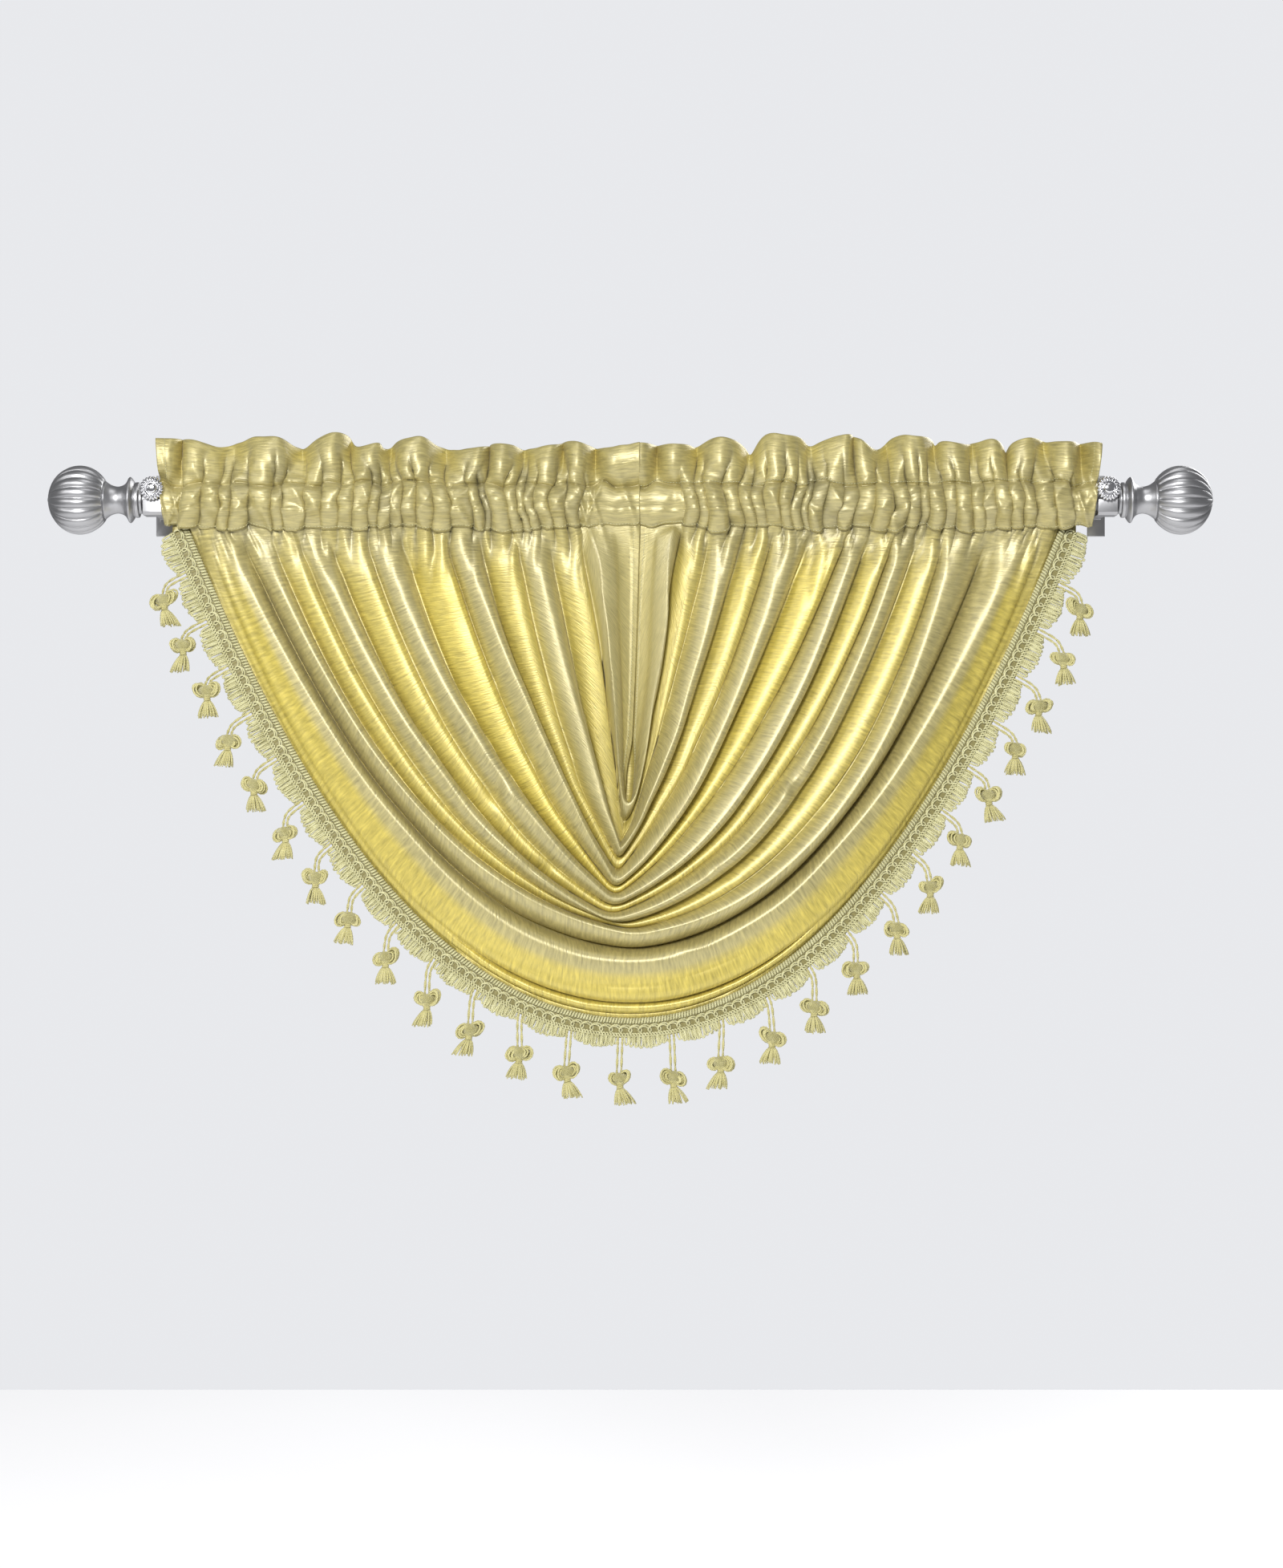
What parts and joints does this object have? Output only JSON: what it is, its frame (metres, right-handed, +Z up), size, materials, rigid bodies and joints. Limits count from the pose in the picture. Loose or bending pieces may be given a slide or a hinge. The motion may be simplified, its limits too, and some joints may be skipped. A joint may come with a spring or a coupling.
{
  "type": "waterfall valance on curtain rod",
  "caption": "Short satin window valance gathered by a rod pocket, draped in nested U-shaped folds, edged with tape, looped fringe and tassels, on a rod with fluted ball finials.",
  "frame": {"origin": "on the wall plane, level with the rod's axis and midway between the two brackets", "axes": "+X along the rod to the right as seen from the room, +Y into the wall, +Z up; the front of the cloth faces -Y"},
  "size_m": [1.1626, 0.1243, 0.6682],
  "materials": {
    "cloth": "satin with fine slubs, gold yellow",
    "trim": "braided and looped thread, pale yellow",
    "steel": "satin silver grey",
    "chrome": "polished"
  },
  "bodies": {
    "root": {"valance_cloth": "cloth", "tape_fringe": "trim", "rod": "steel", "finial_left": "steel", "finial_right": "steel", "bracket_left": "steel", "bracket_right": "steel", "rosette_left": "chrome", "rosette_right": "chrome", "tassel_01": "trim", "tassel_02": "trim", "tassel_03": "trim", "tassel_04": "trim", "tassel_05": "trim", "tassel_06": "trim", "tassel_07": "trim", "tassel_08": "trim", "tassel_09": "trim", "tassel_10": "trim", "tassel_11": "trim", "tassel_12": "trim", "tassel_13": "trim", "tassel_14": "trim", "tassel_15": "trim", "tassel_16": "trim", "tassel_17": "trim", "tassel_18": "trim", "tassel_19": "trim", "tassel_20": "trim", "tassel_21": "trim", "tassel_22": "trim", "tassel_23": "trim", "tassel_24": "trim", "tassel_25": "trim", "tassel_26": "trim", "tassel_27": "trim"}
  },
  "joints": []
}
